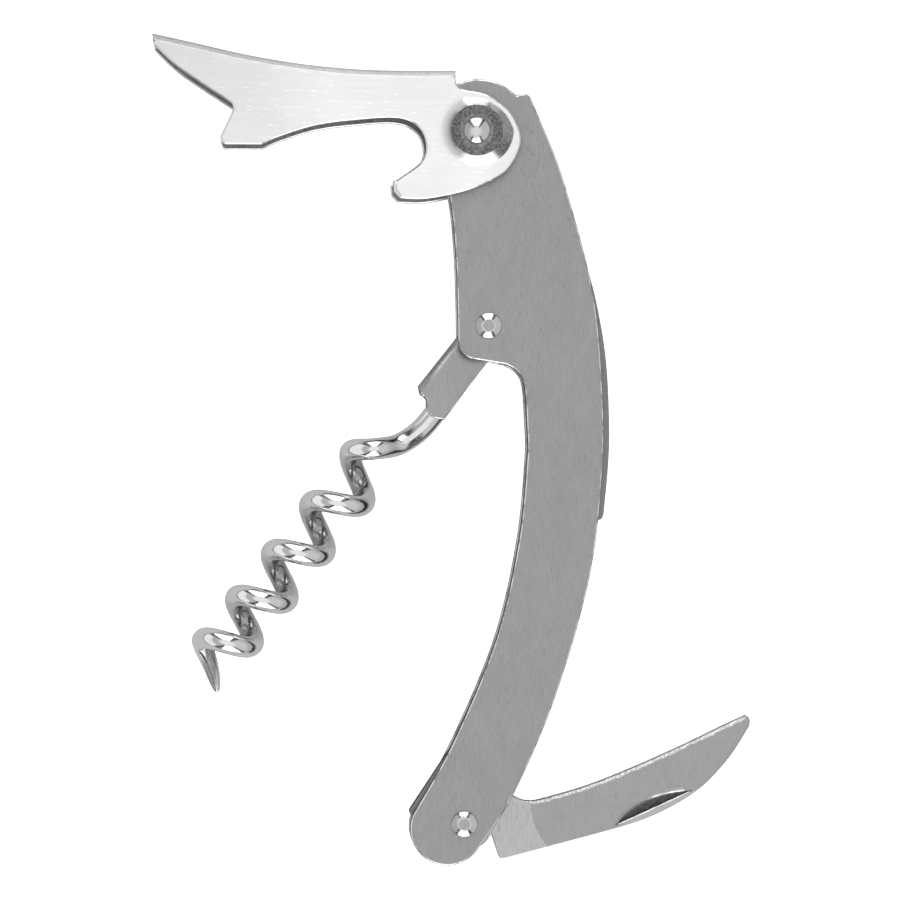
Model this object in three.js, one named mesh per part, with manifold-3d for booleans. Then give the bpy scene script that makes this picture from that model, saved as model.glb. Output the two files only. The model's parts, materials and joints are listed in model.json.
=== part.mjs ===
// A waiters corkscrew, lying flat, partly unfolded: a curved handle of two steel plates with a back
// spring between them, a folded-sheet lever at the top, a wire worm in a sheet holder below it, and a
// small foil blade at the lower end.
//
// Millimetres. The handle runs along Y, its concave side faces -X and the blade leaves it towards +X.
// Z is the thickness: z = 0 is the outer face of the lever's lower flange, the lowest face of the part.
import * as THREE from 'three';
import { mergeVertices } from 'three/addons/utils/BufferGeometryUtils.js';
import Module from 'manifold-3d';

const wasm = await Module();
wasm.setup();

// ---- Driving dimensions ----

// Stack, through the thickness.
const LEVER_WIDTH = 11.2;
const LEVER_SHEET = 0.9;
const MIDDLE = LEVER_WIDTH / 2;
const PLATE = 1.5;
const PLATE_GAP = 3.4;
const SPRING = 3.0;
const BLADE = 1.8;
const NICK_DEPTH = 0.45;
const RUNNING = 0.1;

// The three pivots.
const LEVER_PIN = new THREE.Vector2(3.84, 47.97);
const WORM_PIN = new THREE.Vector2(5.64, 18.81);
const BLADE_PIN = new THREE.Vector2(2.0, -55.8);

// Pins, bushes and rivet heads.
const PIN_RADIUS = 1.3;
const BUSH_RADIUS = 2.0;
const HEAD_RADIUS = 1.9;
const HEAD_HEIGHT = 0.7;
const HEAD_DIMPLE = 0.9;

// The cup pressed into each lever flange around its pivot.
const CUP_FLOOR = 2.6;
const CUP_STEP = 3.9;
const CUP_RIM = 5.2;
const CUP_SHOULDER = 0.5;

// The worm: its direction at rest, its helix and its holder.
const WORM_DIRECTION = new THREE.Vector2(-0.62, -0.785).normalize();
const WORM_OFFSET = 1.24;
const HELIX_RADIUS = 3.14;
const WIRE_RADIUS = 1.65;
const FIRST_TURN_AT = 27.3;
const FIRST_TURN_PHASE = 0.24;
const FIRST_PITCH = 10.2;
const PITCH_LOSS = 0.3;
const HELIX_TURNS = 4.1;
const POINT_LENGTH = 9;
const POINT_WIDTH = 0.12;
const HOLDER_SHEET = 0.8;
const HOLDER_FOLD = 2.6;
const HOLDER_OPENS_AT = 6.0;
const HOLDER_OPEN_FROM = 8.4;
const HOLDER_END = 17;
const TANG = 3.0;
const TANG_RADIUS = 3.6;

// The hinge that stands for the bending between the spring's two arms.
const KNUCKLE = new THREE.Vector2(14.4, -4.5);
const KNUCKLE_RADIUS = 2.4;

// ---- Finishes ----

const steel = (color, roughness) =>
  new THREE.MeshStandardMaterial({ color, roughness, metalness: 1 });
const BRUSHED = () => steel(0x9a9a98, 0.42);
const SATIN = () => steel(0xd4d4d2, 0.34);
const POLISHED = () => steel(0xc9c9c9, 0.12);
const SPRING_STEEL = () => steel(0x77777a, 0.45);
const BLADE_STEEL = () => steel(0xa2a2a0, 0.36);

// ---- Solids ----

const point = (x, y) => new THREE.Vector2(x, y);

function solid(geometry) {
  const bare = geometry.index ? geometry.toNonIndexed() : geometry.clone();
  bare.deleteAttribute('normal');
  bare.deleteAttribute('uv');
  const merged = mergeVertices(bare, 1e-4);
  return new wasm.Manifold(new wasm.Mesh({
    numProp: 3,
    vertProperties: merged.attributes.position.array,
    triVerts: new Uint32Array(merged.index.array),
  }));
}

// An outline in X and Y, raised from one height to another.
function slab(shape, low, high, curveSegments = 5) {
  const geometry = new THREE.ExtrudeGeometry(shape, {
    depth: high - low,
    bevelEnabled: false,
    curveSegments,
  });
  return solid(geometry.translate(0, 0, low));
}

// A profile of radius and height, turned about the upright axis through a centre.
function turned(profile, centre, sides = 40) {
  const points = profile.map(([radius, height]) => point(radius, height));
  const geometry = new THREE.LatheGeometry(points, sides);
  return solid(geometry.rotateX(Math.PI / 2).translate(centre.x, centre.y, 0));
}

function cylinder(radius, centre, low, high, sides = 40) {
  return turned([[0, low], [radius, low], [radius, high], [0, high]], centre, sides);
}

function mesh(name, body, material) {
  const { numProp, vertProperties, triVerts } = body.getMesh();
  const positions = new Float32Array(triVerts.length * 3);
  triVerts.forEach((vertex, i) => {
    positions.set(vertProperties.subarray(vertex * numProp, vertex * numProp + 3), i * 3);
  });
  const geometry = new THREE.BufferGeometry();
  geometry.setAttribute('position', new THREE.BufferAttribute(positions, 3));
  geometry.computeVertexNormals();
  const made = new THREE.Mesh(geometry, material);
  made.name = name;
  return made;
}

// ---- Handle plates ----

const PLATE_LOW = MIDDLE - PLATE_GAP / 2;
const PLATE_HIGH = MIDDLE + PLATE_GAP / 2;

// A round boss carries the lever, a small tooth beside it stops the lever's back end, a block below the
// boss carries the worm, and a slim curved grip leads to the round lower end.
function plateOutline() {
  const shape = new THREE.Shape();
  shape.moveTo(11.9, 53.1);
  shape.quadraticCurveTo(11.5, 53.6, 10.9, 53.6);
  shape.quadraticCurveTo(10.3, 53.6, 9.9, 53.3);
  shape.lineTo(9.1, 54.0);
  shape.absarc(4.2, 48.3, 7.45, 0.86, Math.PI, false);
  shape.splineThru([point(-2.2, 43.0), point(-0.2, 38.1), point(0.75, 29), point(1.1, 16.5)]);
  shape.quadraticCurveTo(1.2, 14.4, 3.2, 13.8);
  shape.lineTo(8.2, 13.0);
  shape.splineThru([point(10.0, 11.9), point(11.0, 9.8), point(11.4, 4), point(11.45, -1),
    point(10.2, -13.5), point(6.8, -28.2), point(0.4, -43.5), point(-5.2, -53.6)]);
  shape.absarc(-0.55, -56.5, 5.55, 2.84, -0.55 + 2 * Math.PI, false);
  shape.splineThru([point(9.1, -51.9), point(15.4, -37.6), point(20.7, -19.5), point(22.7, -3.5),
    point(22.75, 9), point(21.3, 24), point(16.95, 40.5), point(13.4, 49.7)]);
  return shape;
}

function plate(low) {
  const blank = slab(plateOutline(), low, low + PLATE, 6);
  const hole = (radius, centre) => cylinder(radius, centre, low - 1, low + PLATE + 1);
  return blank
    .subtract(hole(BUSH_RADIUS + RUNNING, LEVER_PIN))
    .subtract(hole(PIN_RADIUS + RUNNING, WORM_PIN))
    .subtract(hole(PIN_RADIUS + RUNNING, BLADE_PIN));
}

// ---- Back spring ----

const SPRING_EYE_RADIUS = 5.2;
const SPRING_LOW = MIDDLE - SPRING / 2;
const SPRING_HIGH = MIDDLE + SPRING / 2;

// The upper arm hangs from the lever's bush, stands a little proud of the plates' convex edge behind the
// worm, and ends square above the space that the folded blade fills.
function backSpring() {
  const shape = new THREE.Shape();
  shape.absarc(LEVER_PIN.x, LEVER_PIN.y, SPRING_EYE_RADIUS, 0.45, 4.6, false);
  shape.splineThru([point(7.6, 38), point(10.1, 30), point(10.3, 14), point(12.2, 8),
    point(11.9, 0)]);
  shape.lineTo(11.6, -9.6);
  shape.quadraticCurveTo(11.6, -10.4, 12.4, -10.4);
  shape.lineTo(22.1, -10.4);
  shape.quadraticCurveTo(23.0, -10.4, 23.1, -9.2);
  shape.splineThru([point(23.8, -1.5), point(23.9, 5), point(23.35, 14.5), point(21.6, 24.1),
    point(19.4, 31), point(16.0, 40.2), point(11.5, 48.6)]);
  shape.closePath();
  // The lower arm's round end sits in a socket, and the arm leaves it downwards.
  const socket = cylinder(KNUCKLE_RADIUS + RUNNING, KNUCKLE, SPRING_LOW - 1, SPRING_HIGH + 1);
  const leaving = new THREE.Shape([point(11, -4.5), point(KNUCKLE.x + KNUCKLE_RADIUS + 0.3, -4.5),
    point(16.6, -12), point(9, -12)]);
  const eye = cylinder(BUSH_RADIUS + RUNNING, LEVER_PIN, SPRING_LOW - 1, SPRING_HIGH + 1);
  return slab(shape, SPRING_LOW, SPRING_HIGH, 8)
    .subtract(eye)
    .subtract(socket)
    .subtract(slab(leaving, SPRING_LOW - 1, SPRING_HIGH + 1));
}

// The lower arm follows the concave edge and ends beside the blade's tang, just proud of the plates.
function springArm() {
  const shape = new THREE.Shape();
  shape.moveTo(11.95, -4.8);
  shape.splineThru([point(11.4, -8), point(10.5, -13.8), point(7.1, -28.4), point(0.3, -44.2)]);
  shape.lineTo(-6.0, -53.7);
  shape.quadraticCurveTo(-6.4, -54.3, -5.7, -54.8);
  shape.lineTo(-5.0, -55.3);
  shape.lineTo(-3.9, -54.1);
  shape.splineThru([point(3.2, -43.6), point(9.1, -31.5), point(13.6, -18), point(16.0, -7.5)]);
  shape.lineTo(KNUCKLE.x + KNUCKLE_RADIUS, KNUCKLE.y);
  shape.closePath();
  return slab(shape, SPRING_LOW, SPRING_HIGH)
    .add(cylinder(KNUCKLE_RADIUS, KNUCKLE, SPRING_LOW, SPRING_HIGH));
}

// ---- Lever ----

// Side view of the lever: boot tip, lug, hollow lower edge, cap-lifting hook and round pivot end.
function leverOutline() {
  const shape = new THREE.Shape();
  shape.moveTo(0.6, 56.4);
  shape.quadraticCurveTo(0.6, 56.8, 0.1, 56.85);
  shape.splineThru([point(-6.3, 56.8), point(-14.4, 57.0), point(-22.4, 57.75),
    point(-30.4, 59.05), point(-36.9, 60.5)]);
  shape.lineTo(-44.0, 62.05);
  shape.quadraticCurveTo(-44.6, 62.1, -44.7, 61.4);
  shape.lineTo(-44.2, 60.3);
  shape.splineThru([point(-40.5, 56.9), point(-32.7, 51.7)]);
  shape.lineTo(-32.5, 50.9);
  shape.lineTo(-34.4, 46.9);
  shape.quadraticCurveTo(-34.5, 45.7, -33.5, 45.6);
  shape.lineTo(-28.4, 45.6);
  shape.splineThru([point(-25.6, 46.8), point(-20.4, 48.45), point(-14.4, 49.3),
    point(-8.0, 49.6), point(-4.9, 48.2), point(-3.85, 45.6), point(-4.6, 43.1),
    point(-7.9, 40.6)]);
  shape.lineTo(-8.8, 40.2);
  shape.lineTo(-8.7, 38.7);
  shape.lineTo(-7.7, 37.65);
  shape.splineThru([point(-4.3, 37.55), point(-0.3, 38.2), point(3.7, 39.35), point(7.8, 41.5),
    point(9.9, 44.6), point(10.25, 47.4), point(8.6, 50.8), point(5.8, 53.0), point(3.3, 53.75)]);
  shape.quadraticCurveTo(0.7, 53.9, 0.6, 55.2);
  shape.closePath();
  return shape;
}

// What the folded channel leaves empty between its flanges: everything but the fold's own thickness.
function leverHollow() {
  const shape = new THREE.Shape();
  shape.moveTo(0.8, 62);
  shape.lineTo(0.8, 55.95);
  shape.lineTo(-6.3, 55.9);
  shape.splineThru([point(-14.4, 56.1), point(-22.3, 56.85), point(-30.2, 58.15),
    point(-36.7, 59.6)]);
  shape.lineTo(-48, 62.05);
  shape.lineTo(-48, 30);
  shape.lineTo(14, 30);
  shape.lineTo(14, 62);
  shape.closePath();
  return shape;
}

// One flange's pressed cup, written for the upper flange; the lower one is its mirror image.
function cupProfiles() {
  const top = LEVER_WIDTH;
  const floor = PLATE_HIGH + PLATE + RUNNING + LEVER_SHEET;
  return {
    metal: [[0, floor - LEVER_SHEET], [CUP_FLOOR + 1.0, floor - LEVER_SHEET],
      [CUP_STEP + 1.2, top - LEVER_SHEET - CUP_SHOULDER], [CUP_RIM + 0.9, top - LEVER_SHEET],
      [CUP_RIM + 0.9, top], [0, top]],
    recess: [[0, floor], [CUP_FLOOR, floor], [CUP_STEP, top - CUP_SHOULDER], [CUP_RIM, top],
      [CUP_RIM, top + 1], [0, top + 1]],
  };
}

function mirrored(profile) {
  return profile.map(([radius, height]) => [radius, LEVER_WIDTH - height]).reverse();
}

function lever() {
  const outline = leverOutline();
  const hollow = slab(leverHollow(), LEVER_SHEET, LEVER_WIDTH - LEVER_SHEET);
  const { metal, recess } = cupProfiles();
  let body = slab(outline, 0, LEVER_WIDTH, 4).subtract(hollow);
  const within = slab(outline, 0, LEVER_WIDTH, 4);
  for (const [cup, dish] of [[metal, recess], [mirrored(metal), mirrored(recess)]]) {
    body = body.add(turned(cup, LEVER_PIN).intersect(within)).subtract(turned(dish, LEVER_PIN));
  }
  return body.subtract(cylinder(PIN_RADIUS + RUNNING, LEVER_PIN, -1, LEVER_WIDTH + 1));
}

// ---- Worm ----

// The worm is drawn along its own direction: s runs from the pivot to the point, n across it towards
// the worm's outer side.
const WORM_NORMAL = new THREE.Vector2(WORM_DIRECTION.y, -WORM_DIRECTION.x);

function wormPoint(s, n, z = 0) {
  return new THREE.Vector3(
    WORM_PIN.x + s * WORM_DIRECTION.x + n * WORM_NORMAL.x,
    WORM_PIN.y + s * WORM_DIRECTION.y + n * WORM_NORMAL.y,
    MIDDLE + z,
  );
}

const wormFlat = (s, n) => point(wormPoint(s, n).x, wormPoint(s, n).y);

function wormPath() {
  const straight = [[8.6, -1.65], [11.5, -1.7], [15.0, -1.9], [18.6, -1.8], [22.2, -0.6]];
  const points = straight.map(([s, n]) => wormPoint(s, n, 0));
  points.push(wormPoint(25.1, 2.0, 2.3));
  const pointsPerTurn = 12;
  const steps = Math.round(HELIX_TURNS * pointsPerTurn);
  for (let i = 0; i <= steps; i += 1) {
    const turns = i / pointsPerTurn;
    const angle = 2 * Math.PI * (FIRST_TURN_PHASE + turns);
    const s = FIRST_TURN_AT + FIRST_PITCH * turns - PITCH_LOSS * turns * turns;
    points.push(wormPoint(
      s,
      WORM_OFFSET + HELIX_RADIUS * Math.sin(angle),
      HELIX_RADIUS * Math.cos(angle),
    ));
  }
  points.push(wormPoint(66.2, 0.5, -1.9));
  points.push(wormPoint(68.3, -2.35, -0.6));
  return new THREE.CatmullRomCurve3(points);
}

// The wire is one round section along the path, ground down to a point over its last stretch.
function wormWire() {
  const path = wormPath();
  const section = new THREE.Shape().absarc(0, 0, WIRE_RADIUS, 0, 2 * Math.PI, false);
  const steps = 110;
  const geometry = new THREE.ExtrudeGeometry(section, {
    extrudePath: path,
    steps,
    curveSegments: 5,
  });
  const centres = path.getSpacedPoints(steps);
  const length = path.getLength();
  const positions = geometry.attributes.position;
  const vertex = new THREE.Vector3();
  for (let i = 0; i < positions.count; i += 1) {
    vertex.fromBufferAttribute(positions, i);
    const nearest = centres.reduce((best, centre, step) => (
      vertex.distanceTo(centre) < vertex.distanceTo(centres[best]) ? step : best), 0);
    const left = length * (1 - nearest / steps);
    const narrow = Math.min(1, POINT_WIDTH + (1 - POINT_WIDTH) * Math.sqrt(left / POINT_LENGTH));
    vertex.sub(centres[nearest]).multiplyScalar(narrow).add(centres[nearest]);
    positions.setXYZ(i, vertex.x, vertex.y, vertex.z);
  }
  return solid(geometry);
}

// The holder is one sheet folded over along its outer edge, flat at the pivot and opened round the wire.
function holderOutline() {
  const shape = new THREE.Shape();
  const start = wormFlat(13.0, HOLDER_FOLD);
  shape.moveTo(start.x, start.y);
  for (const [s, n] of [[13.9, 2.4], [14.3, 1.4], [14.45, 0.4], [15.0, -0.1], [15.6, -0.6],
    [15.9, -1.4], [15.8, -2.4], [15.1, -3.55], [9.3, -3.36], [4.0, -3.3]]) {
    const corner = wormFlat(s, n);
    shape.lineTo(corner.x, corner.y);
  }
  const around = Math.atan2(WORM_DIRECTION.y, WORM_DIRECTION.x);
  shape.absarc(WORM_PIN.x, WORM_PIN.y, TANG_RADIUS, around + 1.15, around + 2 * Math.PI - 0.83,
    false);
  shape.closePath();
  return shape;
}

// A side profile of the holder, s along and z across, raised across the sheet from one n to another.
function holderProfile(half, spread, nLow, nHigh) {
  const shape = new THREE.Shape([point(-2 * TANG_RADIUS, -half), point(HOLDER_OPENS_AT, -half),
    point(HOLDER_OPEN_FROM, -spread), point(HOLDER_END, -spread), point(HOLDER_END, spread),
    point(HOLDER_OPEN_FROM, spread), point(HOLDER_OPENS_AT, half), point(-2 * TANG_RADIUS, half)]);
  const geometry = new THREE.ExtrudeGeometry(shape, { depth: nHigh - nLow, bevelEnabled: false });
  const along = new THREE.Vector3(WORM_DIRECTION.x, WORM_DIRECTION.y, 0);
  const across = new THREE.Vector3(WORM_NORMAL.x, WORM_NORMAL.y, 0);
  const frame = new THREE.Matrix4().makeBasis(along, new THREE.Vector3(0, 0, 1), across);
  const origin = wormPoint(0, nLow, 0);
  return solid(geometry.applyMatrix4(frame).translate(origin.x, origin.y, origin.z));
}

function wormHolder() {
  const spread = WIRE_RADIUS + RUNNING / 2 + HOLDER_SHEET;
  const width = 2 * TANG_RADIUS;
  const outer = holderProfile(TANG / 2, spread, -width, width);
  const inner = holderProfile(TANG / 2 - HOLDER_SHEET, spread - HOLDER_SHEET, -width,
    HOLDER_FOLD - HOLDER_SHEET);
  return slab(holderOutline(), 0, LEVER_WIDTH, 12)
    .intersect(outer)
    .subtract(inner)
    .subtract(cylinder(BUSH_RADIUS + RUNNING, WORM_PIN, 0, LEVER_WIDTH));
}

// ---- Blade ----

function bladeOutline() {
  const shape = new THREE.Shape();
  shape.moveTo(44.6, -39.8);
  shape.splineThru([point(41.4, -41.2), point(35.4, -44.1), point(28.2, -47.3),
    point(21.0, -50.15), point(14.6, -52.05), point(12.6, -52.5)]);
  shape.quadraticCurveTo(11.4, -52.8, 10.2, -52.2);
  shape.lineTo(5.4, -49.9);
  shape.splineThru([point(2.6, -51.5), point(-1.2, -52.9), point(-2.4, -55.8), point(-1.1, -58.9),
    point(2.0, -60.2), point(4.9, -59.1), point(6.2, -57.5)]);
  shape.lineTo(7.3, -60.9);
  shape.quadraticCurveTo(7.5, -61.4, 8.2, -61.2);
  shape.splineThru([point(16.2, -59.1), point(25.8, -56.55), point(30.6, -54.9),
    point(35.4, -52.4), point(38.9, -49.75), point(42.4, -45.8), point(45.1, -41.6)]);
  shape.quadraticCurveTo(45.6, -40.2, 44.6, -39.8);
  return shape;
}

// The nail nick: a slanted groove along the spine side, deepest at its straight upper wall.
function nailNick() {
  const shape = new THREE.Shape();
  shape.moveTo(25.2, -56.1);
  shape.splineThru([point(27.2, -53.9), point(29.5, -52.3), point(31.8, -51.45),
    point(34.0, -51.1), point(36.25, -51.15)]);
  shape.closePath();
  return slab(shape, MIDDLE + BLADE / 2 - NICK_DEPTH, MIDDLE + BLADE);
}

function blade() {
  return slab(bladeOutline(), MIDDLE - BLADE / 2, MIDDLE + BLADE / 2)
    .subtract(nailNick())
    .subtract(cylinder(PIN_RADIUS + RUNNING, BLADE_PIN, 0, LEVER_WIDTH));
}

// ---- Pins, bushes and washers ----

// A rivet through the whole stack, with a dimpled domed head at each end.
function rivet(centre, seatLow, seatHigh) {
  const head = [[PIN_RADIUS, 0], [HEAD_RADIUS, 0], [HEAD_RADIUS * 0.97, HEAD_HEIGHT * 0.35],
    [HEAD_RADIUS * 0.8, HEAD_HEIGHT * 0.78], [HEAD_DIMPLE, HEAD_HEIGHT],
    [0, HEAD_HEIGHT * 0.8]];
  const upper = head.map(([radius, rise]) => [radius, seatHigh + rise]);
  const lower = head.map(([radius, rise]) => [radius, seatLow - rise]).reverse();
  return turned([...lower, ...upper], centre);
}

function ring(inner, outer, centre, low, high) {
  return turned([[inner, low], [outer, low], [outer, high], [inner, high], [inner, low]], centre);
}

const SEAT = 0.05;
const WASHER_RADIUS = 3.6;
const CUP_SEAT = PLATE_HIGH + PLATE + RUNNING + LEVER_SHEET + SEAT;
const PLATE_SEAT = PLATE_HIGH + PLATE + SEAT;
const LEVER_BUSH_LENGTH = PLATE_GAP + 2 * PLATE + RUNNING;
const WORM_BUSH_LENGTH = PLATE_GAP - RUNNING;
const WASHER = (PLATE_GAP - BLADE) / 2 - RUNNING;

function bush(centre, length) {
  return ring(PIN_RADIUS + RUNNING / 2, BUSH_RADIUS, centre, MIDDLE - length / 2,
    MIDDLE + length / 2);
}

function bladeWasher(low) {
  return ring(PIN_RADIUS + RUNNING / 2, WASHER_RADIUS, BLADE_PIN, low, low + WASHER);
}

// ---- Assembly ----

const corkscrew = new THREE.Group();
const handle = new THREE.Group();
const leverGroup = new THREE.Group();
const wormGroup = new THREE.Group();
const bladeGroup = new THREE.Group();
corkscrew.add(handle, leverGroup, wormGroup, bladeGroup);

handle.add(mesh('rear_plate', plate(PLATE_LOW - PLATE), BRUSHED()));
handle.add(mesh('front_plate', plate(PLATE_HIGH), BRUSHED()));
handle.add(mesh('back_spring', backSpring(), SPRING_STEEL()));
handle.add(mesh('spring_arm', springArm(), SPRING_STEEL()));
handle.add(mesh('lever_rivet', rivet(LEVER_PIN, LEVER_WIDTH - CUP_SEAT, CUP_SEAT), POLISHED()));
handle.add(mesh('lever_bush', bush(LEVER_PIN, LEVER_BUSH_LENGTH), POLISHED()));
handle.add(mesh('worm_rivet', rivet(WORM_PIN, LEVER_WIDTH - PLATE_SEAT, PLATE_SEAT), POLISHED()));
handle.add(mesh('worm_bush', bush(WORM_PIN, WORM_BUSH_LENGTH), POLISHED()));
handle.add(mesh('blade_rivet', rivet(BLADE_PIN, LEVER_WIDTH - PLATE_SEAT, PLATE_SEAT), POLISHED()));
handle.add(mesh('blade_washer_rear', bladeWasher(PLATE_LOW + RUNNING / 2), POLISHED()));
handle.add(mesh('blade_washer_front', bladeWasher(MIDDLE + BLADE / 2 + RUNNING / 2), POLISHED()));
leverGroup.add(mesh('lever', lever(), SATIN()));
wormGroup.add(mesh('worm_holder', wormHolder(), BRUSHED()));
wormGroup.add(mesh('worm_wire', wormWire(), POLISHED()));
bladeGroup.add(mesh('blade', blade(), BLADE_STEEL()));

export default corkscrew;
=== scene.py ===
import json
import math

import bmesh
import bpy
import numpy as np
from mathutils import Matrix, Vector, geometry, noise


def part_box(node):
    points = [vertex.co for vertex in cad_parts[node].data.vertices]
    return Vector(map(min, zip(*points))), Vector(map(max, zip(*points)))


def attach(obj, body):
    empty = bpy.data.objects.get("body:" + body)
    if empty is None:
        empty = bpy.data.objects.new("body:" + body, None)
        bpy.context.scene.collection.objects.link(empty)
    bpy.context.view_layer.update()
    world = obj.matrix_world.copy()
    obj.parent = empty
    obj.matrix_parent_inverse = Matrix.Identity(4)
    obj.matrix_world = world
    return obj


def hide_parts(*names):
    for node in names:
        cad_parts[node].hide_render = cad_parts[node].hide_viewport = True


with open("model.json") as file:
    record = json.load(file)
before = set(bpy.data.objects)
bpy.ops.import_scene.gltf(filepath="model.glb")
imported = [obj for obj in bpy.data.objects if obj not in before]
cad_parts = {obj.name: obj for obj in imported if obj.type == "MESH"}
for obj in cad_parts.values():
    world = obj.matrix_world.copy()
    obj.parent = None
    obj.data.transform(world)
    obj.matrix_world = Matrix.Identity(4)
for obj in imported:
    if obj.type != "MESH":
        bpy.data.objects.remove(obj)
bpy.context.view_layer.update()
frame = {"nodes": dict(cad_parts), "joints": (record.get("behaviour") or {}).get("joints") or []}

MM = 0.001
UP = np.array([0.0, 0.0, 1.0])


# ---- Places that the frame gives ----


def heights(node):
    """The lowest and highest level of a CAD node."""
    low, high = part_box(node)
    return low.z / MM, high.z / MM


PIVOTS = {joint["child"]: np.array(joint["pos_m"][:2]) / MM for joint in frame["joints"]}
LEVER_LOW, LEVER_HIGH = heights("lever")
MIDDLE = (LEVER_LOW + LEVER_HIGH) / 2
PLATE_HIGH = heights("front_plate")[1]


# ---- Outlines ----

SAME_LEVEL = 0.004


def area(loop):
    x, y = loop.T
    return 0.5 * float(np.sum(x * np.roll(y, -1) - y * np.roll(x, -1)))


def wound(loops):
    """The outer loop turned anticlockwise and its holes clockwise, so the metal is on the left of each."""
    return [loop if (area(loop) > 0) == (n == 0) else loop[::-1] for n, loop in enumerate(loops)]


def cad_outlines(node, level):
    """The closed outlines of a CAD node's flat face at one level: the outer one, then its holes."""
    mesh = frame["nodes"][node].data
    places = np.array([v.co for v in mesh.vertices]) / MM
    flat = np.abs(places[:, 2] - level) < SAME_LEVEL
    key = [tuple(np.round(p[:2], 3)) for p in places]
    edges = set()
    for face in mesh.polygons:
        ids = list(face.vertices)
        if all(flat[i] for i in ids):
            edges.update((key[a], key[b]) for a, b in zip(ids, ids[1:] + ids[:1]))
    following = {a: b for a, b in edges if (b, a) not in edges}
    loops = []
    while following:
        start, then = following.popitem()
        loop = [start]
        while then != start:
            loop.append(then)
            then = following.pop(then)
        loops.append(np.array(loop))
    return wound(sorted(loops, key=lambda loop: -abs(area(loop))))


def unit(v):
    return v / np.maximum(np.linalg.norm(v, axis=-1, keepdims=True), 1e-12)


def compass(angles):
    """The directions of some angles."""
    return np.stack([np.cos(angles), np.sin(angles)], 1)


def distances(line):
    """How far along a line each of its points is."""
    return np.concatenate([[0], np.cumsum(np.linalg.norm(np.diff(line, axis=0), axis=1))])


def curve(t, start, leave, end, reach):
    """A cubic from start to end, with its tangents there."""
    return (
        (2 * t**3 - 3 * t**2 + 1) * start
        + (t**3 - 2 * t**2 + t) * leave
        + (3 * t**2 - 2 * t**3) * end
        + (t**3 - t**2) * reach
    )


CORNER = math.radians(30)
STRAIGHT = 2.5


def tangents(loop):
    """The direction in which a smooth curve through the loop leaves and reaches each point."""
    along = np.roll(loop, -1, 0) - loop
    length = np.linalg.norm(along, axis=1)
    after = along / length[:, None]
    before, shorter = np.roll(after, 1, 0), np.roll(length, 1)
    turn = np.arccos(np.clip(np.sum(before * after, axis=1), -1, 1))
    arc = unit(before * length[:, None] + after * shorter[:, None])
    arc = np.where((length > STRAIGHT * shorter)[:, None], after, arc)
    arc = np.where((shorter > STRAIGHT * length)[:, None], before, arc)
    sharp = (turn > CORNER)[:, None]
    reaching, leaving = np.roll(arc, -1, 0), arc
    end_sharp = np.roll(sharp, -1, 0)
    mirrored = 2 * np.sum(reaching * after, axis=1, keepdims=True) * after - reaching
    leave = np.where(sharp, np.where(end_sharp, after, mirrored), leaving)
    mirrored = 2 * np.sum(leaving * after, axis=1, keepdims=True) * after - leaving
    reach = np.where(end_sharp, np.where(sharp, after, mirrored), reaching)
    return leave, reach, length


def smooth(loop, step):
    """A closed outline through the same points, curved between its sharp corners, with short steps."""
    leave, reach, length = tangents(loop)
    made = []
    for i, size in enumerate(length):
        count = max(1, math.ceil(size / step))
        t = (np.arange(count) / count)[:, None]
        start, end = loop[i], loop[(i + 1) % len(loop)]
        made.append(curve(t, start, size * leave[i], end, size * reach[i]))
    return np.vstack(made)


MITRE_LIMIT = 2.2


def mitres(line, closed=True):
    """For each point of an outline, the step inwards that moves both of its sides in by one."""
    along = unit(np.roll(line, -1, 0) - line)
    before = np.roll(along, 1, 0)
    if not closed:
        along[-1], before[0] = before[-1], along[0]
    left = np.stack([-along[:, 1], along[:, 0]], 1)
    left_before = np.stack([-before[:, 1], before[:, 0]], 1)
    both = left + left_before
    inward = both / np.maximum(1 + np.sum(left * left_before, axis=1, keepdims=True), 0.2)
    size = np.linalg.norm(inward, axis=1, keepdims=True)
    return inward * np.minimum(1, MITRE_LIMIT / size)


FAR = 1000.0


def way_out(place, step, starts, edges, reach=FAR):
    """How many steps lead from a place to the nearest of some edges in that direction, up to reach."""
    gap = starts - place
    cross = step[0] * edges[:, 1] - step[1] * edges[:, 0]
    cross = np.where(np.abs(cross) < 1e-9, 1e-9, cross)
    far = (gap[:, 0] * edges[:, 1] - gap[:, 1] * edges[:, 0]) / cross
    share = (gap[:, 0] * step[1] - gap[:, 1] * step[0]) / cross
    return np.append(far[(share >= 0) & (share <= 1) & (far > 0)], reach).min()


def room_within(line, inward, reach):
    """How far each point of an outline can move inwards before it meets the outline again, up to reach."""
    edges = np.roll(line, -1, 0) - line
    room = np.full(len(line), reach)
    for n, (place, step) in enumerate(zip(line, inward)):
        near = np.flatnonzero(np.abs(line - place).max(1) < reach + 1)
        near = near[(near != n) & (near != (n - 1) % len(line))]
        room[n] = way_out(place, step, line[near], edges[near], reach)
    return room


ROOM_SHARE = 0.4


def inset(line, distance, closed=True):
    """The outline moved inwards. Where a bend is tighter than the distance, its points meet in one."""
    count = len(line)
    inward = mitres(line, closed)
    distance = np.broadcast_to(distance, count)
    if closed:
        distance = np.minimum(distance, ROOM_SHARE * room_within(line, inward, 3 * distance.max()))
    free = line + inward * distance[:, None]
    along = np.roll(line, -1, 0) - line
    made, back = free.copy(), np.zeros(count, bool)
    while True:
        now = back | (np.sum((np.roll(made, -1, 0) - made) * along, axis=1) < 0)
        if not closed:
            now[-1] = False
        if (now == back).all():
            return made
        back = now
        for start in np.flatnonzero(back & ~np.roll(back, 1)):
            run = [start]
            while back[run[-1] % count]:
                run.append(run[-1] + 1)
            run = [i % count for i in run]
            made[run] = (free[run[0]] + free[run[-1]]) / 2


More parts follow.
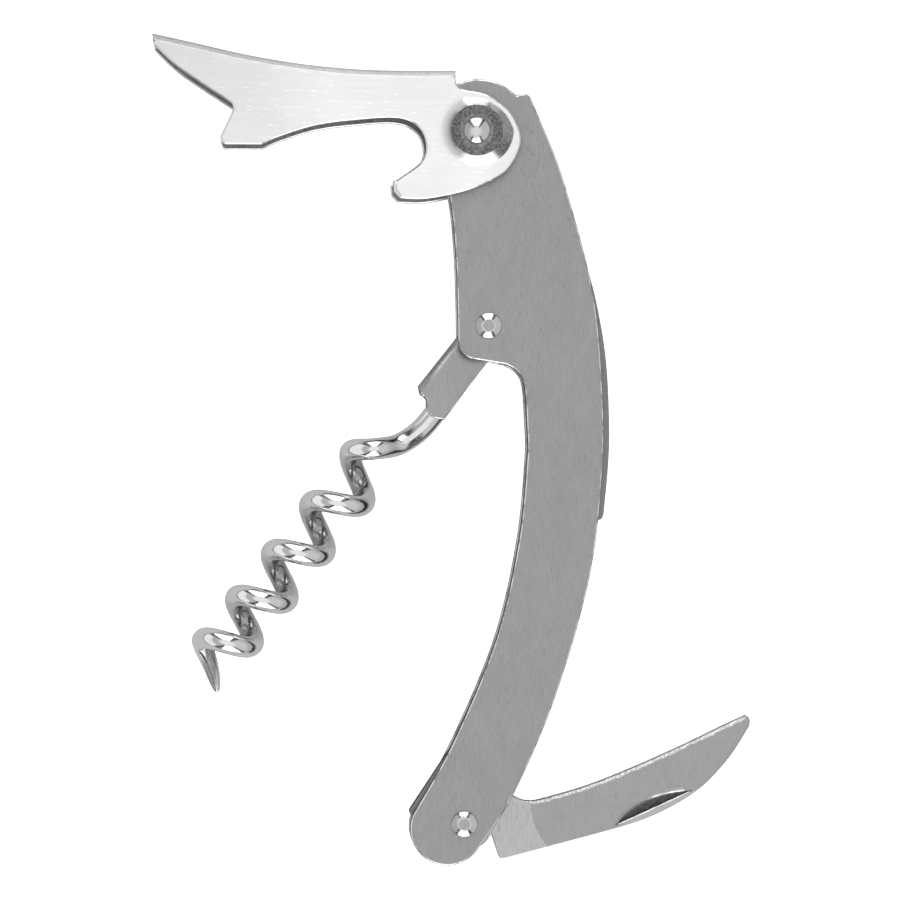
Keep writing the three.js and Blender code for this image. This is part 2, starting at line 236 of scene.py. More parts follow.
def inside(points, loops):
    """Which points lie inside the outer loop and outside the holes."""
    odd = np.zeros(len(points), bool)
    for loop in loops:
        for (x0, y0), (x1, y1) in zip(loop, np.roll(loop, -1, 0)):
            if y0 != y1:
                crosses = (y0 > points[:, 1]) != (y1 > points[:, 1])
                odd ^= crosses & (points[:, 0] < x0 + (points[:, 1] - y0) * (x1 - x0) / (y1 - y0))
    return odd


def nearest(points, targets):
    """How far each point is from the closest of the targets."""
    far = np.full(len(points), np.inf)
    for chunk in np.array_split(targets, max(1, len(targets) // 200)):
        gaps = np.linalg.norm(points[:, None] - chunk[None], axis=2)
        far = np.minimum(far, gaps.min(1))
    return far


def ramp(value, low, high):
    """0 up to low, 1 from high on, smooth in between."""
    t = np.clip((value - low) / (high - low), 0, 1)
    return t * t * (3 - 2 * t)


# ---- Skins: the points and faces of one piece ----

TRIANGLE_HEIGHT = 0.87
CLEAR_OF_RIM = 0.6


class Skin:
    def __init__(self):
        self.points, self.finish, self.faces = [], [], []

    def row(self, flat, level, finish=0.0):
        """A row of points. Level is one height or one for each point.

        The finish is 2 on steel ground bright and on a painted glint, 1 on an edge that handling has
        polished, 0 on a finished face and -1 on raw steel; below 0 it also stands for painted shade, on
        walls, insides and hollows.
        """
        start = len(self.points)
        levels = np.broadcast_to(level, len(flat))
        self.points.extend((p[0], p[1], z) for p, z in zip(flat, levels))
        self.finish.extend(np.broadcast_to(finish, len(flat)))
        return list(range(start, start + len(flat)))

    def band(self, rows, closed=True):
        """Quads between each row and the next."""
        for low, high in zip(rows, rows[1:]):
            for i in range(len(low) - (not closed)):
                j = (i + 1) % len(low)
                self.faces.append((low[i], low[j], high[j], high[i]))

    def cap(self, loops, level, spacing, finish=0.0):
        """Fills the region inside the loops. Level gives each point's height."""
        loops = wound(loops)
        rim = np.vstack(loops)
        low, high = rim.min(0), rim.max(0)
        across = np.arange(low[0], high[0], spacing)
        upward = np.arange(low[1], high[1], spacing * TRIANGLE_HEIGHT)
        grid = np.array(
            [(x + (n % 2) * spacing / 2, y) for n, y in enumerate(upward) for x in across]
        )
        grid = grid[inside(grid, loops)]
        grid = grid[nearest(grid, rim) > CLEAR_OF_RIM * spacing]
        edges, start = [], 0
        for loop in loops:
            ids = list(range(start, start + len(loop)))
            edges += list(zip(ids, ids[1:] + ids[:1]))
            start += len(loop)
        flat = [Vector(p) for p in np.vstack([rim, grid])]
        places, _, faces, given, *_ = geometry.delaunay_2d_cdt(flat, edges, [], 0, 1e-7)
        places = np.array([(p.x, p.y) for p in places])
        made = {old: new for new, olds in enumerate(given) for old in olds}
        walls = {(made[a], made[b]) for a, b in edges}
        walls = {(a, b) for a, b in walls if (b, a) not in walls}
        centres = np.array([places[list(face)].mean(0) for face in faces])
        ids = self.row(places, level(places) if callable(level) else level, finish)
        for face, kept in zip(faces, inside(centres, loops)):
            sides = list(zip(face, face[1:] + face[:1]))
            turn = sum(side in walls for side in sides) - sum(side[::-1] in walls for side in sides)
            if turn > 0 or (turn == 0 and kept):
                self.faces.append(tuple(ids[i] for i in face))


WELD = 0.002
SHARP = math.radians(38)
WAVE_LENGTH = 11


def piece(name, skin, body, material, node, wave=0.0, sharp=SHARP):
    """Makes the Blender object of a skin, which rides on its body and stands for a CAD node.

    wave is how far a flat face strays from flat. Edges that turn by more than sharp stay sharp.
    """
    net = bmesh.new()
    finish = net.verts.layers.float.new("finish")
    for (x, y, z), amount in zip(skin.points, skin.finish):
        z += wave * noise.noise(Vector((x / WAVE_LENGTH, y / WAVE_LENGTH, 0.3)))
        net.verts.new(Vector((x, y, z)) * MM)[finish] = float(amount)
    net.verts.ensure_lookup_table()
    for face in skin.faces:
        if len(set(face)) > 2:
            net.faces.new([net.verts[i] for i in face])
    bmesh.ops.remove_doubles(net, verts=net.verts, dist=WELD * MM)
    bmesh.ops.dissolve_degenerate(net, edges=net.edges, dist=WELD * MM / 4)
    loose = [v for v in net.verts if not v.link_faces]
    bmesh.ops.delete(net, geom=loose, context="VERTS")
    bmesh.ops.recalc_face_normals(net, faces=net.faces)
    mesh = bpy.data.meshes.new(name)
    net.to_mesh(mesh)
    net.free()
    mesh.polygons.foreach_set("use_smooth", [True] * len(mesh.polygons))
    mesh.set_sharp_from_angle(angle=sharp)
    made = bpy.data.objects.new(name, mesh)
    bpy.context.scene.collection.objects.link(made)
    weighted = made.modifiers.new("even_normals", "WEIGHTED_NORMAL")
    weighted.mode, weighted.weight, weighted.keep_sharp = "FACE_AREA", 60, True
    mesh.materials.append(material)
    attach(made, body)
    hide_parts(node)


ROUND_STEPS = 4


def quarter(steps=ROUND_STEPS):
    """Shares (inwards, downwards) of an edge's rounding, from the flat face to the side wall."""
    angles = np.linspace(0, math.pi / 2, steps + 1)
    return [(1 - math.sin(a), 1 - math.cos(a)) for a in angles]


# The finish of an edge's rows: polished where its rounding starts, raw on the sheared wall, which is also
# darkened as painted shade. On a folded sheet the rows go on from the wall over a painted highlight on the
# inner edge to the inside, darkened as painted shade.
ROUNDED = [0.0, 1.0, 0.8, -0.2, -1.0]
ROUNDED_INSIDE = [-1.0, 1.2, 1.5, 1.2, -0.7]
INSIDE_SHADE = -0.7


BLANK_SPACING = 1.3


def blank(loops, low, high, upper_edge, lower_edge):
    """A flat part cut from sheet, with rounded edges."""
    skin = Skin()
    upper, lower = [], []
    for loop in loops:
        rows = []
        step = inset(loop, upper_edge) - loop
        for share_in, share_down in quarter():
            rows.append((loop + step * share_in, high - upper_edge * share_down))
        step = inset(loop, lower_edge) - loop
        for share_in, share_down in reversed(quarter()):
            rows.append((loop + step * share_in, low + lower_edge * share_down))
        made = [
            skin.row(flat, level, finish)
            for (flat, level), finish in zip(rows, ROUNDED + ROUNDED[::-1])
        ]
        skin.band(made)
        upper.append(rows[0][0])
        lower.append(rows[-1][0])
    skin.cap(upper, high, BLANK_SPACING)
    skin.cap(lower, low, BLANK_SPACING)
    return skin


TURNED_SIDES = 72


def turned(profile, finishes, centre):
    """A profile of (radius, height) turned about an upright axis, on which it starts and ends."""
    skin = Skin()
    circle = compass(np.arange(TURNED_SIDES) * 2 * math.pi / TURNED_SIDES)
    skin.band([
        skin.row(centre + circle * max(radius, 1e-5), level, finish)
        for (radius, level), finish in zip(profile, finishes)
    ])
    return skin


# ---- Materials ----


class Nodes:
    """Builds one node tree from short calls. A value is a number or another node's output."""

    def __init__(self, tree):
        self.tree = tree
        tree.nodes.clear()

    def new(self, kind):
        return self.tree.nodes.new("ShaderNode" + kind)

    def put(self, value, socket):
        if isinstance(value, bpy.types.NodeSocket):
            self.tree.links.new(value, socket)
        else:
            socket.default_value = value

    def maths(self, operation, *values):
        node = self.new("Math")
        node.operation = operation
        for value, socket in zip(values, node.inputs):
            self.put(value, socket)
        return node.outputs[0]

    def product(self, *values):
        """Several values multiplied."""
        result, *others = values
        for value in others:
            result = self.maths("MULTIPLY", result, value)
        return result

    def sway(self, noise, amount, value):
        """A value made to vary round itself with a noise."""
        return self.maths("MULTIPLY_ADD", self.maths("SUBTRACT", noise, 0.5), amount, value)

    def spread(self, value, low, high, to_low=0.0, to_high=1.0):
        """A value eased from one range to another."""
        node = self.new("MapRange")
        node.interpolation_type = "SMOOTHSTEP"
        for given, socket in zip((value, low, high, to_low, to_high), node.inputs):
            self.put(given, socket)
        return node.outputs[0]

    def mixed(self, share, without, with_all):
        """One value where share is 0, another where it is 1."""
        return self.spread(share, 0.0, 1.0, without, with_all)

    def noise(self, place, scale, stretch=(1, 1, 1), turn=0.0, detail=3.0, roughness=0.55):
        """Noise with its grain stretched; scale is in features for each millimetre."""
        mapping = self.new("Mapping")
        mapping.inputs["Rotation"].default_value = (0, 0, turn)
        mapping.inputs["Scale"].default_value = [scale * s / MM for s in stretch]
        self.put(place, mapping.inputs["Vector"])
        node = self.new("TexNoise")
        node.inputs["Scale"].default_value = 1.0
        node.inputs["Detail"].default_value = detail
        node.inputs["Roughness"].default_value = roughness
        self.put(mapping.outputs[0], node.inputs["Vector"])
        return node.outputs[0]


RAW_AND_SHADE_SHARE = 0.18
WARMTH = 0.995
SCUFFS = 0.05


def steel(
    name,
    grey,
    roughness,
    grain=(3.0, 0.12, 3.0),
    turn=0.0,
    streak=0.10,
    rough_streak=0.10,
    bump=0.02,
    wear_and_glint_grey=None,
    wear_roughness=0.2,
    raw_roughness=0.6,
    scratches=0.3,
    cloud=0.08,
    grazing=0.6,
    extra=None,
):
    """Brushed or polished steel, with soft blotches and bright worn edges.

    grain is the grain's fineness along each axis and turn its direction; streak, rough_streak and bump
    are how much it varies the tone, the roughness and the surface. The wear is on polished and ground
    edges and on painted glints, and raw is what neither grinding nor polishing has reached, and also
    painted shade. extra adds zones.
    """
    material = bpy.data.materials.new(name)
    material.use_nodes = True
    nodes = Nodes(material.node_tree)
    place = nodes.new("TexCoord").outputs["Object"]
    fine = nodes.noise(place, 1.0, grain, turn, 4.0, 0.65)
    broad = nodes.noise(place, 0.22, (grain[0] / 3, grain[1] * 2, 1), turn, 2.0, 0.5)
    blotch = nodes.noise(place, 0.07, turn=0.4, detail=2.0, roughness=0.5)
    scratch = nodes.noise(place, 2.2, (grain[0] * 1.6, grain[1] * 0.7, 3), turn + 0.05, 1.0, 0.4)
    scratch = nodes.spread(scratch, 0.66, 0.74)
    finish = nodes.new("Attribute")
    finish.attribute_name = "finish"
    finish = finish.outputs["Fac"]
    # Below 0 the finish marks raw steel and also painted shade; from 1.05 on it marks ground steel and
    # painted glints.
    raw = nodes.spread(finish, -0.02, -1.0)
    patchy = nodes.spread(nodes.noise(place, 0.5, roughness=0.6), 0.3, 0.6)
    ground = nodes.spread(finish, 1.05, 1.6)
    edge = nodes.maths("MAXIMUM", nodes.product(nodes.spread(finish, 0.25, 0.9), patchy), ground)

    tone = nodes.sway(fine, streak, 1.0)
    tone = nodes.sway(broad, streak * 0.5, tone)
    tone = nodes.sway(blotch, cloud, tone)
    tone = nodes.maths("MULTIPLY_ADD", scratch, -streak * scratches, tone)
    value = nodes.product(tone, grey)
    rough = nodes.sway(blotch, SCUFFS, nodes.sway(fine, rough_streak, roughness))
    if extra is not None:
        value, rough = extra(nodes, place, value, rough)
    if wear_and_glint_grey is not None:
        hatch = nodes.spread(nodes.noise(place, 2.4, (1.6, 0.7, 1), 0.3, 2.0, 0.6), 0.4, 0.6, 0.62, 1.0)
        hatch = nodes.mixed(ground, 1.0, hatch)
        value = nodes.mixed(edge, value, nodes.product(hatch, wear_and_glint_grey))
        rough = nodes.mixed(edge, rough, wear_roughness)
    # Raw steel and painted shade are darkened to a pitted fraction of the tone.
    pitted = nodes.noise(place, 2.6, roughness=0.6)
    pitted = nodes.spread(pitted, 0.34, 0.66, 0.6 * RAW_AND_SHADE_SHARE, 1.5 * RAW_AND_SHADE_SHARE)
    value = nodes.product(value, nodes.mixed(raw, 1.0, pitted))
    rough = nodes.mixed(raw, rough, raw_roughness)
    colour = nodes.new("CombineColor")
    for tone, socket in zip((value, value, nodes.product(value, WARMTH)), colour.inputs):
        nodes.put(tone, socket)
    relief = nodes.new("Bump")
    relief.inputs["Strength"].default_value = 1.0
    relief.inputs["Distance"].default_value = bump * MM
    nodes.put(nodes.maths("ADD", fine, nodes.product(scratch, -0.6)), relief.inputs["Height"])
    shader = nodes.new("BsdfPrincipled")
    nodes.put(nodes.spread(raw, 0.5, 1.0, 1.0, 0.5), shader.inputs["Metallic"])
    shader.inputs["Specular Tint"].default_value = (grazing, grazing, grazing, 1)
    nodes.put(colour.outputs[0], shader.inputs["Base Color"])
    nodes.put(rough, shader.inputs["Roughness"])
    nodes.put(relief.outputs[0], shader.inputs["Normal"])
    nodes.put(shader.outputs[0], nodes.new("OutputMaterial").inputs[0])
    return material


RICASSO_CENTRE = PIVOTS["blade"] + (20.3, 3.1)
RICASSO_RADIUS = 10.15
NICK_FROM = PIVOTS["blade"] + (23.2, -0.35)
NICK_TO = PIVOTS["blade"] + (34.25, 4.65)


RICASSO_TONE = 1.32
RICASSO_ROUGHNESS = 0.27
NICK_TONE = 1.3
# Painted shade towards the lever's tip.
TIP_SHADE = 0.86


def blade_zones(nodes, place, value, rough):
    """Lighter behind a curved line near the tang, where it was never ground, and under the nail nick."""
    flat = nodes.new("VectorMath")
    flat.operation = "MULTIPLY"
    flat.inputs[1].default_value = (1, 1, 0)
    nodes.put(place, flat.inputs[0])
    away = nodes.new("VectorMath")
    away.operation = "DISTANCE"
    away.inputs[1].default_value = (*(RICASSO_CENTRE * MM), 0)
    nodes.put(flat.outputs[0], away.inputs[0])
    split = nodes.new("SeparateXYZ")
    nodes.put(place, split.inputs[0])
    x, y, _ = split.outputs
    outside = nodes.spread(
        away.outputs["Value"], (RICASSO_RADIUS - 0.08) * MM, (RICASSO_RADIUS + 0.12) * MM
    )
    raw = nodes.product(outside, nodes.maths("LESS_THAN", x, RICASSO_CENTRE[0] * MM))
    value = nodes.mixed(raw, value, nodes.product(value, RICASSO_TONE))
    rough = nodes.mixed(raw, rough, RICASSO_ROUGHNESS)
    rise, run = unit(NICK_TO - NICK_FROM)[::-1]
    across = nodes.product(nodes.maths("SUBTRACT", y, NICK_FROM[1] * MM), run)
    across = nodes.maths(
        "MULTIPLY_ADD", nodes.maths("SUBTRACT", x, NICK_FROM[0] * MM), -rise, across
    )
    under = nodes.product(
        nodes.spread(across, -0.12 * MM, -0.2 * MM),
        nodes.spread(x, (NICK_FROM[0] - 2) * MM, (NICK_FROM[0] + 4) * MM),
    )
    return nodes.mixed(under, value, nodes.product(value, NICK_TONE)), rough


def lever_zones(nodes, place, value, rough):
    """A little greyer towards the tip: painted shade."""
    split = nodes.new("SeparateXYZ")
    nodes.put(place, split.inputs[0])
    return nodes.product(value, nodes.spread(split.outputs[0], -42 * MM, -16 * MM, TIP_SHADE, 1.0)), rough


PLATE_STEEL = steel(
    "brushed_plate",
    0.35,
    0.36,
    grain=(4.5, 0.42, 4.5),
    streak=0.26,
    scratches=0.06,
    wear_and_glint_grey=0.95,
    wear_roughness=0.22,
)
SPRING_STEEL = steel(
    "spring_steel", 0.24, 0.42, grain=(2.0, 0.3, 0.5), streak=0.2, wear_and_glint_grey=0.36, wear_roughness=0.3
)
LEVER_STEEL = steel(
    "satin_lever",
    0.90,
    0.30,
    grain=(0.10, 2.6, 2.6),
    turn=0.1,
    streak=0.12,
    rough_streak=0.12,
    cloud=0.3,
    wear_and_glint_grey=0.88,
    wear_roughness=0.16,
    extra=lever_zones,
)
HOLDER_STEEL = steel(
    "brushed_holder",
    0.38,
    0.33,
    grain=(4.5, 0.42, 4.5),
    streak=0.24,
    scratches=0.06,
    wear_and_glint_grey=0.9,
    wear_roughness=0.2,
)
BLADE_STEEL = steel(
    "blade_satin",
    0.38,
    0.34,
    grain=(4.5, 0.42, 4.5),
    turn=-0.05,
    streak=0.24,
    scratches=0.06,
    wear_and_glint_grey=0.92,
    wear_roughness=0.3,
    extra=blade_zones,
)
WIRE_STEEL = steel(
    "polished_wire",
    0.80,
    0.08,
    grain=(2.4, 2.4, 2.4),
    streak=0.2,
    rough_streak=0.08,
    bump=0.006,
    raw_roughness=0.14,
    grazing=1.0,
)
RIVET_STEEL = steel(
    "polished_rivet", 0.68, 0.09, grain=(1.5, 1.5, 1.5), streak=0.08, rough_streak=0.08, bump=0.01
)
BUSH_STEEL = steel(
    "turned_bush", 0.5, 0.22, grain=(0.6, 0.6, 5.0), streak=0.12, rough_streak=0.1, bump=0.01
)


# ---- Handle ----

OUTER_FIRST = (0.3, 0.15)
PLATE_WAVE = 0.02
SPRING_EDGE = 0.14
OUTLINE_STEP = 0.3


def plates():
    """Both side plates, with the softer edge on the outside."""
    for side in ("front", "rear"):
        low, high = heights(side + "_plate")
        face, edges = (high, OUTER_FIRST) if side == "front" else (low, OUTER_FIRST[::-1])
        loops = [smooth(loop, OUTLINE_STEP) for loop in cad_outlines(side + "_plate", face)]
        skin = blank(loops, low, high, *edges)
        piece("plate_" + side, skin, "handle", PLATE_STEEL, side + "_plate", PLATE_WAVE)


def springs():
    """The back spring's two stretches, cut from one thickness."""
    for node in ("back_spring", "spring_arm"):
        low, high = heights(node)
        loops = [smooth(loop, OUTLINE_STEP) for loop in cad_outlines(node, high)]
        skin = blank(loops, low, high, SPRING_EDGE, SPRING_EDGE)
        piece(node + "_blank", skin, node, SPRING_STEEL, node)


plates()
springs()


# ---- Rivets ----

HEAD_RISE = 0.7
HEAD_RIM = 0.30
HEAD_CURVE = 1.55
HEAD_LIP = 0.26
HEAD_UNDERCUT = 0.985
PIN_RADIUS = 1.3
STRUCK_DEPTH = 0.03
STRUCK_ROUGH = 0.035
STRUCK_FADE = 0.25
STRUCK_GRAIN = 3.1


def dome(share):
    """The height of a head over its seat, where share runs from 0 at the centre to 1 at the rim."""
    return HEAD_RISE * ((1 - share**HEAD_CURVE) * (1 - HEAD_RIM) + HEAD_RIM)


def rivet(name, node, pivot, dimple):
    """A headed pin: the heads are domed, and dimple is the radius of the flattened, struck centre."""
    low, high = heights(node)
    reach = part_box(node)
    radius = (reach[1].x - reach[0].x) / 2 / MM
    head = [(radius * share, dome(share)) for share in np.linspace(1.0, 0.0, 26)]
    head[0] = (radius, HEAD_LIP * HEAD_RISE)
    if dimple:
        struck_level = dome(dimple / radius) - STRUCK_DEPTH
        head = [(r, struck_level if r < dimple else z) for r, z in head]
    seat = high - HEAD_RISE
    upper = [(PIN_RADIUS, seat), (radius * HEAD_UNDERCUT, seat)]
    upper += [(r, seat + z * 0.999) for r, z in head]
    lower = [(r, low + high - z) for r, z in reversed(upper)]
    # The head's side wall and the rows under it are darkened as painted shade, and the struck centre is
    # duller.
    shares = [-1.0 if n < 3 else -0.5 * (r < dimple) for n, (r, _) in enumerate(upper)]
    skin = turned(lower + upper, shares[::-1] + shares, pivot)
    struck = []
    for x, y, z in skin.points:
        gap = math.hypot(x - pivot[0], y - pivot[1])
        if dimple and gap < dimple * 0.98:
            fade = min(1, (dimple - gap) / STRUCK_FADE)
            place = Vector((x * STRUCK_GRAIN, y * STRUCK_GRAIN, z))
            z += STRUCK_ROUGH * fade * noise.noise(place)
        struck.append((x, y, z))
    skin.points = struck
    piece(name, skin, "handle", RIVET_STEEL, node)


STRUCK_RADIUS = 0.88

rivet("rivet_lever", "lever_rivet", PIVOTS["lever"], 0)
rivet("rivet_worm", "worm_rivet", PIVOTS["worm"], STRUCK_RADIUS)
rivet("rivet_blade", "blade_rivet", PIVOTS["blade"], STRUCK_RADIUS)

for node in ("lever_bush", "worm_bush", "blade_washer_rear", "blade_washer_front"):
    bush = frame["nodes"][node]
    bush.data.materials.clear()
    bush.data.materials.append(BUSH_STEEL)


# ---- Folded sheets: the lever and the worm's holder ----


def folded(skin, fold, fold_in, cut, half, sheet, bend, edge, inner_edge, bent, holes, spacing):
    """A sheet folded over along one edge of its outline.

    fold is the folded edge, with fold_in its steps inwards; cut is the rest of the outline, which goes
    on from the fold's end and back to its start. half gives the outer face's height over the middle at
    any place, bend the outer radius of the fold, edge and inner_edge the rounding of the cut edges, bent
    the finish and painted shade of the fold's outside, from the flat face to the middle, and spacing the
    flat faces' grid.
    holes(face) makes a face's holes and returns their rims: face is +1 or -1 outside, +2 or -2 inside.
    """
    arc = quarter(len(bent) - 1)
    top = half(fold + fold_in * bend)
    for side in (1, -1):
        outer_rows, inner_rows = [], []
        for (share_in, share_down), finish in zip(arc, bent):
            flat = fold + fold_in * bend * share_in
            outer = MIDDLE + side * (top - bend * share_down)
            outer_rows.append(skin.row(flat, outer, finish))
            flat = fold + fold_in * (sheet + (bend - sheet) * share_in)
            inner = top - sheet - (bend - sheet) * share_down
            inner_rows.append(skin.row(flat, MIDDLE + side * inner, INSIDE_SHADE))
        skin.band(outer_rows, closed=False)
        skin.band(inner_rows, closed=False)
        for rows in (outer_rows, inner_rows):
            flat = np.array([skin.points[i][:2] for i in rows[-1]])
            finish = bent[-1] if rows is outer_rows else INSIDE_SHADE
            rows.append(skin.row(flat, MIDDLE, finish))
            skin.band(rows[-2:], closed=False)
        for end in (0, -1):
            ladder = [[outer[end], inner[end]] for outer, inner in zip(outer_rows, inner_rows)]
            skin.band(ladder, closed=False)

        rows = []
        step = inset(cut, edge, closed=False) - cut
        for share_in, share_down in quarter():
            flat = cut + step * share_in
            rows.append((flat, MIDDLE + side * (half(flat) - edge * share_down)))
        step = inset(cut, inner_edge, closed=False) - cut
        for share_in, share_down in reversed(quarter()):
            flat = cut + step * share_in
            level = half(flat) - sheet + inner_edge * share_down
            rows.append((flat, MIDDLE + side * level))
        made = [
            skin.row(flat, level, finish)
            for (flat, level), finish in zip(rows, ROUNDED + ROUNDED_INSIDE)
        ]
        skin.band(made, closed=False)
        for face, flat, drop in ((side, rows[0][0], 0), (2 * side, rows[-1][0], sheet)):
            loop = np.vstack([fold + fold_in * bend, flat[1:-1]])
            skin.cap(
                [loop] + holes(face),
                lambda places, drop=drop, side=side: MIDDLE + side * (half(places) - drop),
                spacing,
                0.0 if face == side else INSIDE_SHADE,
            )


LEVER_SHELF = PIVOTS["lever"][1] + 8
LEVER_BACK = PIVOTS["lever"][0] - 3.24
LEVER_HOOK = PIVOTS["lever"] + (-12.3, -9.1)
HOOK_REACH = 1.35
LEVER_STEP = 0.25
LEVER_SPACING = 0.8
TIP_LEAN = np.array([0.12, -1])
LEVER_SHEET = 0.9
LEVER_BEND = 1.05
# Painted shade across the fold's outside, from the flat face to the middle.
LEVER_FOLD_SHADE = [0.0, -0.54, -0.57, -0.46, -0.26, -0.12, -0.05]
LEVER_EDGE = 0.3
LEVER_INNER_EDGE = 0.2
HOOK_EDGE = 0.75
CUP_SIDES = 96
# The cup's radii: its rim on the outer side and on the lever's own side, where its wall starts, its hole.
CUP_RIM = 5.5
CUP_RIM_SOFT = 6.1
CUP_STEP = 3.9
CUP_HOLE = 1.4
CUP_MARGIN = 0.75
# Painted shade on the dish: where (radians from +X), how wide, how dark.
CUP_SHADES = [(-0.75, 0.32, 0.5), (1.12, 0.13, 0.62), (2.02, 0.15, 0.6)]
CUP_DARKEST = 0.85
SOFT_FALL = 2.3
CLEAR_FALL = 1.1
DISH_DEPTH = 0.75
DISH_SHARES = (0, 0.08, 0.2, 0.35, 0.5, 0.65, 0.8, 0.92, 1.0)
CUP_DEPTH = LEVER_HIGH - (PLATE_HIGH + 0.1 + LEVER_SHEET)
CUP_UNDER = CUP_DEPTH + LEVER_SHEET
CUP_WIDEST = 6.2
# The cup's rings on the outside, past the dish, as radius, depth and finish (painted shade on the cup's
# wall), and those on the inside.
CUP_OUTSIDE = [
    (3.76, DISH_DEPTH + 0.12, -1.0),
    (2.8, CUP_DEPTH - 0.1, -1.0),
    (2.6, CUP_DEPTH - 0.03, -0.9),
    (2.45, CUP_DEPTH, -0.7),
    (CUP_HOLE, CUP_DEPTH, -0.7),
]
CUP_INSIDE = [
    (CUP_HOLE, CUP_UNDER),
    (3.3, CUP_UNDER),
    (3.6, CUP_UNDER - 0.1),
    (4.9, 1.75),
    (5.5, 1.2),
    (CUP_WIDEST, LEVER_SHEET),
]


def cup(skin, outline, side):
    """The cup pressed into one flange around its pivot. Returns the rims of both faces' holes."""
    centre = PIVOTS["lever"]
    angles = np.arange(CUP_SIDES) * 2 * math.pi / CUP_SIDES
    circle = compass(angles)
    edges = np.roll(outline, -1, 0) - outline
    room = np.array([way_out(centre, step, outline, edges) for step in circle])
    # The dish starts softly on the lever's own side and with a clear edge on the outer side.
    outer_side = ramp(circle[:, 0], -0.6, 0.8)
    rim = np.minimum(CUP_RIM_SOFT + (CUP_RIM - CUP_RIM_SOFT) * outer_side, room - CUP_MARGIN)
    fall = SOFT_FALL + (CLEAR_FALL - SOFT_FALL) * outer_side
    # The dish is darkened as painted shade: a crescent on the outer side and the stretches in CUP_SHADES.
    shade = (0.62 + 0.02 * outer_side) * ramp(np.abs(circle[:, 0]), 0.5, 0.85)
    for where, wide, dark in CUP_SHADES:
        shade += dark * np.exp(-(((angles - where % (2 * math.pi)) / wide) ** 2))
    shade = np.minimum(shade, CUP_DARKEST)
    rings, finishes = [], []
    for share in DISH_SHARES:
        radius = rim + (CUP_STEP - rim) * share
        rings.append((centre + circle * radius[:, None], LEVER_HIGH - DISH_DEPTH * share**fall))
        finishes.append(-shade * (outer_side * ramp(share, 0.0, 0.08) + (1 - outer_side) * share**1.5))
    for radius, depth, finish in CUP_OUTSIDE:
        rings.append((centre + circle * radius, LEVER_HIGH - depth))
        finishes.append(finish)
    # Near the flange's edge the rings are squeezed, so that they end inside its rounding.
    squeeze = np.clip((room - LEVER_INNER_EDGE - 0.15 - CUP_STEP) / (CUP_WIDEST - CUP_STEP), 0.05, 1)
    # The cup's inside rings are darkened as painted shade.
    for radius, depth in CUP_INSIDE:
        reach = CUP_STEP + (radius - CUP_STEP) * (squeeze if radius > CUP_STEP else 1)
        rings.append((centre + circle * np.broadcast_to(reach, CUP_SIDES)[:, None], LEVER_HIGH - depth))
        finishes.append(-1.0)
    rows = []
    for (flat, level), finish in zip(rings, finishes):
        level = level if side > 0 else LEVER_HIGH + LEVER_LOW - level
        rows.append(skin.row(flat, level, finish))
    skin.band(rows)
    return rings[0][0][::-1], rings[-1][0][::-1]


def lever():
    """One sheet folded along its upper edge, with a cup in each flange."""
    outline = smooth(cad_outlines("lever", LEVER_LOW)[0], LEVER_STEP)
    outward = -mitres(outline)
    tip = np.argmin(outline[:, 0])
    outline, outward = np.roll(outline, -tip, 0), np.roll(outward, -tip, 0)
    top = (outward[:, 1] > 0.9) & (outline[:, 1] > LEVER_SHELF)
    fold = outline[top]
    fold = fold[(fold[:, 0] < LEVER_BACK - 0.5) & (fold[:, 0] > outline[0, 0] + 1)]
    start = np.array([LEVER_BACK, fold[0, 1]])
    slope = unit(fold[-1] - fold[-2])
    end_x = outline[0, 0] + 0.1
    end = fold[-1] + slope * (end_x - fold[-1, 0]) / slope[0]
    fold = np.vstack([start, fold, end])
    fold_in = mitres(fold, closed=False)
    fold_in[0] = (0, -1)
    fold_in[-1] = TIP_LEAN / (fold_in[-1] @ TIP_LEAN)
    first, last = fold[-1] + fold_in[-1] * LEVER_BEND, fold[0] + fold_in[0] * LEVER_BEND
    # The cut runs from under the fold's end to under its start, and leaves out what the fold replaces.
    x, y = outline.T
    keep = ~top & ~((y > first[1] - 0.2) & (x < first[0] + 3))
    keep &= ~((y > last[1] - 0.15) & (x > LEVER_BACK - 3) & (x < LEVER_BACK + 0.3))
    cut = np.vstack([first, outline[keep], last])
    run = distances(cut)
    fade = ramp(run, 0, 0.8) * ramp(run[-1] - run, 0, 0.8)
    hook = np.exp(-((np.linalg.norm(cut - LEVER_HOOK, axis=1) / HOOK_REACH) ** 4))
    edge = (LEVER_EDGE + (HOOK_EDGE - LEVER_EDGE) * hook) * fade
    skin = Skin()
    rims = {}
    for side in (1, -1):
        rims[side], rims[2 * side] = cup(skin, outline, side)
    half = (LEVER_HIGH - LEVER_LOW) / 2
    folded(
        skin, fold, fold_in, cut, lambda places: np.full(len(places), half), LEVER_SHEET, LEVER_BEND,
        edge, LEVER_INNER_EDGE * fade, LEVER_FOLD_SHADE, lambda face: [rims[face]], LEVER_SPACING,
    )
    piece("lever_folded", skin, "lever", LEVER_STEEL, "lever")


lever()


# ---- Worm ----

